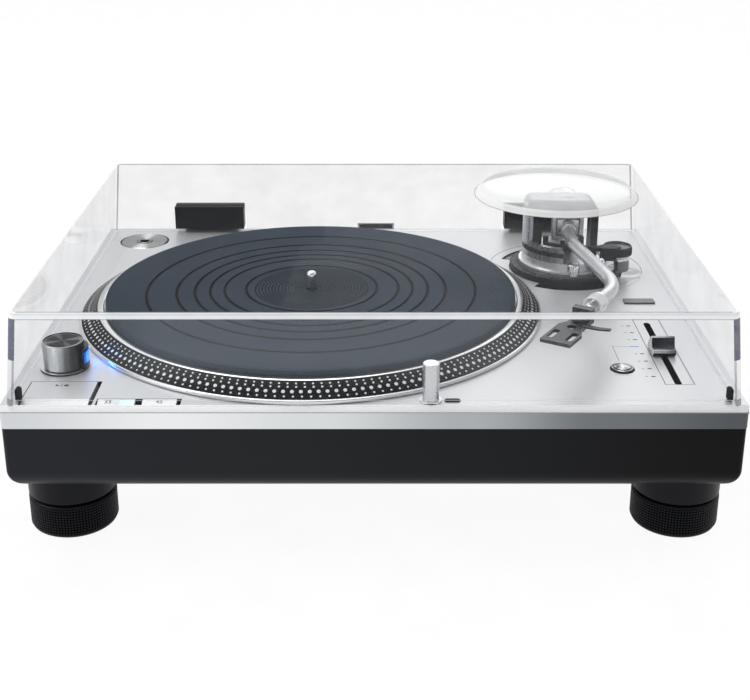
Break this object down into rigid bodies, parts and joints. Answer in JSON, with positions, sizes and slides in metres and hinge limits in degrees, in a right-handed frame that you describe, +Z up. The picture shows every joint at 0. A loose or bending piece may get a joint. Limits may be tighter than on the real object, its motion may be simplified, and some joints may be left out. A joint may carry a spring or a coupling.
{
  "type": "turntable",
  "caption": "Direct-drive record turntable with S-shaped tonearm, strobe-rim platter, ribbed rubber mat, hinged clear dust cover and round height-adjustable feet.",
  "frame": {"origin": "centre of the footprint (bounding box, hinge brackets included) on the table", "axes": "+X to the tonearm side, +Y to the hinges at the back, +Z up"},
  "size_m": [0.453, 0.372, 0.173],
  "materials": {
    "silver_panel": "hairline",
    "silver_turned": "turned",
    "silver_satin": "satin",
    "dark_metal": "satin",
    "black_plastic": "matt",
    "cover_clear": "clear",
    "black_rubber": "matt",
    "mat_rubber": "matt",
    "steel": "bright",
    "chrome": "polished",
    "magnet": "plain",
    "copper_coils": "wound",
    "brass": "turned",
    "board": "lacquered",
    "grey_plastic": "matt",
    "blue_lamp": "lit",
    "grey_paint": "satin",
    "black_metal": "anodised"
  },
  "bodies": {
    "chassis": {"top_panel": "silver_panel", "cabinet": "black_plastic", "bottom_cover": "black_rubber", "foot_necks": "black_plastic", "hinge_brackets": "black_plastic", "sub_chassis": "silver_satin", "stator_coils": "copper_coils", "bearing_housing": "brass", "circuit_boards": "board", "deck_switches_and_fader": "grey_plastic", "rear_terminal_panel": "black_plastic", "phono_terminals": "brass", "mains_inlet": "black_plastic", "bottom_screws": "steel", "target_light_sleeve": "silver_satin", "strobe_housing": "silver_satin", "tonearm_base_plate": "silver_satin", "blank_plate": "grey_paint"},
    "dust_cover": {"dust_cover": "cover_clear", "cover_hinge_blocks": "black_plastic", "cover_bumpers": "black_rubber", "rear_blank_plate": "dark_metal"},
    "platter": {"platter": "silver_turned", "rotor_magnet": "magnet", "spindle": "steel"},
    "rubber_mat": {"rubber_mat": "mat_rubber"},
    "adapter_45": {"adapter_45": "silver_turned"},
    "power_dial": {"power_dial": "silver_turned"},
    "start_stop_key": {"start_stop_key": "silver_panel"},
    "speed_key_33": {"speed_key_33": "silver_panel", "speed_key_lamp": "blue_lamp"},
    "speed_key_45": {"speed_key_45": "silver_panel"},
    "reset_button": {"reset_button": "silver_turned"},
    "target_light_release": {"target_light_release": "black_plastic"},
    "pitch_knob": {"pitch_knob": "dark_metal"},
    "target_light": {"target_light": "silver_turned"},
    "height_ring": {"height_ring": "black_metal"},
    "arm_base": {"arm_base_drum": "silver_satin", "gimbal_yoke": "silver_turned", "arm_rest": "black_plastic", "anti_skate_bracket": "silver_satin"},
    "height_lock": {"height_lock": "chrome"},
    "anti_skate_dial": {"anti_skate_dial": "black_metal"},
    "cue_lever": {"cue_lever": "chrome"},
    "cue_lift_rail": {"cue_lift_rail": "black_plastic"},
    "gimbal_frame": {"gimbal_frame": "silver_satin"},
    "arm_tube": {"arm_tube": "silver_satin"},
    "counterweight_bush": {"counterweight_bush": "black_plastic"},
    "counterweight": {"counterweight": "steel"},
    "stylus_force_ring": {"stylus_force_ring": "black_metal"},
    "headshell_collar": {"headshell_collar": "chrome"},
    "headshell": {"headshell": "dark_metal"},
    "stud_front_left": {"foot_stud_front_left": "steel"},
    "foot_front_left": {"foot_front_left": "black_plastic"},
    "stud_front_right": {"foot_stud_front_right": "steel"},
    "foot_front_right": {"foot_front_right": "black_plastic"},
    "stud_rear_left": {"foot_stud_rear_left": "steel"},
    "foot_rear_left": {"foot_rear_left": "black_plastic"},
    "stud_rear_right": {"foot_stud_rear_right": "steel"},
    "foot_rear_right": {"foot_rear_right": "black_plastic"}
  },
  "joints": [
    {"name": "cover_open", "type": "hinge", "parent": "chassis", "child": "dust_cover", "pos_m": [0, 0.174, 0.109], "axis": [-1, 0, 0], "range_deg": [0, 62]},
    {"name": "platter_spin", "type": "hinge", "parent": "chassis", "child": "platter", "pos_m": [-0.045, -0.0182, 0.103], "axis": [0, 0, 1], "continuous": true},
    {"name": "mat_lift", "type": "slide", "parent": "platter", "child": "rubber_mat", "axis": [0, 0, 1], "range_m": [0, 0.03]},
    {"name": "adapter_lift", "type": "slide", "parent": "chassis", "child": "adapter_45", "axis": [0, 0, 1], "range_m": [0, 0.03]},
    {"name": "power_dial_turn", "type": "hinge", "parent": "chassis", "child": "power_dial", "pos_m": [-0.1996, -0.1258, 0.112], "axis": [0, 0, -1], "range_deg": [0, 45]},
    {"name": "start_stop_key_press", "type": "slide", "parent": "chassis", "child": "start_stop_key", "axis": [0, 0, -1], "range_m": [0, 0.001], "stiffness_N_per_m": 400, "springref_m": -0.002},
    {"name": "speed_key_33_press", "type": "slide", "parent": "chassis", "child": "speed_key_33", "axis": [0, 0, -1], "range_m": [0, 0.001], "stiffness_N_per_m": 400, "springref_m": -0.002},
    {"name": "speed_key_45_press", "type": "slide", "parent": "chassis", "child": "speed_key_45", "axis": [0, 0, -1], "range_m": [0, 0.001], "stiffness_N_per_m": 400, "springref_m": -0.002},
    {"name": "reset_button_press", "type": "slide", "parent": "chassis", "child": "reset_button", "axis": [0, 0, -1], "range_m": [0, 0.001], "stiffness_N_per_m": 400, "springref_m": -0.002},
    {"name": "target_light_release_press", "type": "slide", "parent": "chassis", "child": "target_light_release", "axis": [0, 0, -1], "range_m": [0, 0.001], "stiffness_N_per_m": 400, "springref_m": -0.002},
    {"name": "pitch_slide", "type": "slide", "parent": "chassis", "child": "pitch_knob", "axis": [0, -1, 0], "range_m": [-0.046, 0.046]},
    {"name": "target_light_drop", "type": "slide", "parent": "chassis", "child": "target_light", "axis": [0, 0, -1], "range_m": [0, 0.02], "stiffness_N_per_m": 20, "springref_m": -0.02},
    {"name": "arm_base_lift", "type": "slide", "parent": "chassis", "child": "arm_base", "axis": [0, 0, 1], "range_m": [0, 0.006]},
    {"name": "height_ring_turn", "type": "hinge", "parent": "chassis", "child": "height_ring", "pos_m": [0.1505, 0.067, 0.103], "axis": [0, 0, 1], "range_deg": [0, 91]},
    {"name": "height_lock_turn", "type": "hinge", "parent": "arm_base", "child": "height_lock", "pos_m": [0.1515, 0.0332, 0.113], "axis": [0, 0, 1], "range_deg": [0, 60]},
    {"name": "anti_skate_turn", "type": "hinge", "parent": "arm_base", "child": "anti_skate_dial", "pos_m": [0.187, 0.0484, 0.124], "axis": [0, 0, 1], "range_deg": [0, 270]},
    {"name": "cue_lever_turn", "type": "hinge", "parent": "arm_base", "child": "cue_lever", "pos_m": [0.1761, 0.0195, 0.1212], "axis": [1, 0, 0], "range_deg": [-40, 0]},
    {"name": "cue_rail_lift", "type": "slide", "parent": "arm_base", "child": "cue_lift_rail", "axis": [0, 0, 1], "range_m": [0, 0.0033]},
    {"name": "arm_swing", "type": "hinge", "parent": "arm_base", "child": "gimbal_frame", "pos_m": [0.1505, 0.067, 0.138], "axis": [0, 0, 1], "range_deg": [-47, 0]},
    {"name": "arm_tilt", "type": "hinge", "parent": "gimbal_frame", "child": "arm_tube", "pos_m": [0.1505, 0.067, 0.138], "axis": [-0.9976, 0.0698, 0], "range_deg": [0, 4]},
    {"name": "counterweight_travel", "type": "slide", "parent": "arm_tube", "child": "counterweight_bush", "axis": [0.0698, 0.9976, 0], "range_m": [-0.002, 0.0055]},
    {"name": "counterweight_turn", "type": "hinge", "parent": "counterweight_bush", "child": "counterweight", "pos_m": [0.15392, 0.11588, 0.138], "axis": [0.0698, 0.9976, 0], "range_deg": [-360, 1080]},
    {"name": "stylus_force_ring_turn", "type": "hinge", "parent": "counterweight", "child": "stylus_force_ring", "pos_m": [0.15302, 0.10311, 0.138], "axis": [0.0698, 0.9976, 0], "continuous": true},
    {"name": "headshell_collar_turn", "type": "hinge", "parent": "arm_tube", "child": "headshell_collar", "pos_m": [0.14402, -0.10493, 0.138], "axis": [0.521, 0.8536, 0], "range_deg": [0, 90]},
    {"name": "headshell_pull", "type": "slide", "parent": "arm_tube", "child": "headshell", "axis": [-0.521, -0.8536, 0], "range_m": [0, 0.01]},
    {"name": "foot_travel_front_left", "type": "slide", "parent": "chassis", "child": "stud_front_left", "axis": [0, 0, -1], "range_m": [0, 0.006]},
    {"name": "foot_turn_front_left", "type": "hinge", "parent": "stud_front_left", "child": "foot_front_left", "pos_m": [-0.1981, -0.1386, 0.012], "axis": [0, 0, -1], "range_deg": [0, 1440]},
    {"name": "foot_travel_front_right", "type": "slide", "parent": "chassis", "child": "stud_front_right", "axis": [0, 0, -1], "range_m": [0, 0.006]},
    {"name": "foot_turn_front_right", "type": "hinge", "parent": "stud_front_right", "child": "foot_front_right", "pos_m": [0.1981, -0.1386, 0.012], "axis": [0, 0, -1], "range_deg": [0, 1440]},
    {"name": "foot_travel_rear_left", "type": "slide", "parent": "chassis", "child": "stud_rear_left", "axis": [0, 0, -1], "range_m": [0, 0.006]},
    {"name": "foot_turn_rear_left", "type": "hinge", "parent": "stud_rear_left", "child": "foot_rear_left", "pos_m": [-0.1981, 0.1186, 0.012], "axis": [0, 0, -1], "range_deg": [0, 1440]},
    {"name": "foot_travel_rear_right", "type": "slide", "parent": "chassis", "child": "stud_rear_right", "axis": [0, 0, -1], "range_m": [0, 0.006]},
    {"name": "foot_turn_rear_right", "type": "hinge", "parent": "stud_rear_right", "child": "foot_rear_right", "pos_m": [0.1981, 0.1186, 0.012], "axis": [0, 0, -1], "range_deg": [0, 1440]}
  ],
  "couplings": [
    {"joint": "height_ring_turn", "follows": "arm_base_lift", "rad_per_m": 261.8},
    {"joint": "cue_rail_lift", "follows": "cue_lever_turn", "m_per_rad": -0.0045837},
    {"joint": "counterweight_travel", "follows": "counterweight_turn", "m_per_rad": 0.00028648},
    {"joint": "foot_travel_front_left", "follows": "foot_turn_front_left", "m_per_rad": 0.00023873},
    {"joint": "foot_travel_front_right", "follows": "foot_turn_front_right", "m_per_rad": 0.00023873},
    {"joint": "foot_travel_rear_left", "follows": "foot_turn_rear_left", "m_per_rad": 0.00023873},
    {"joint": "foot_travel_rear_right", "follows": "foot_turn_rear_right", "m_per_rad": 0.00023873}
  ]
}
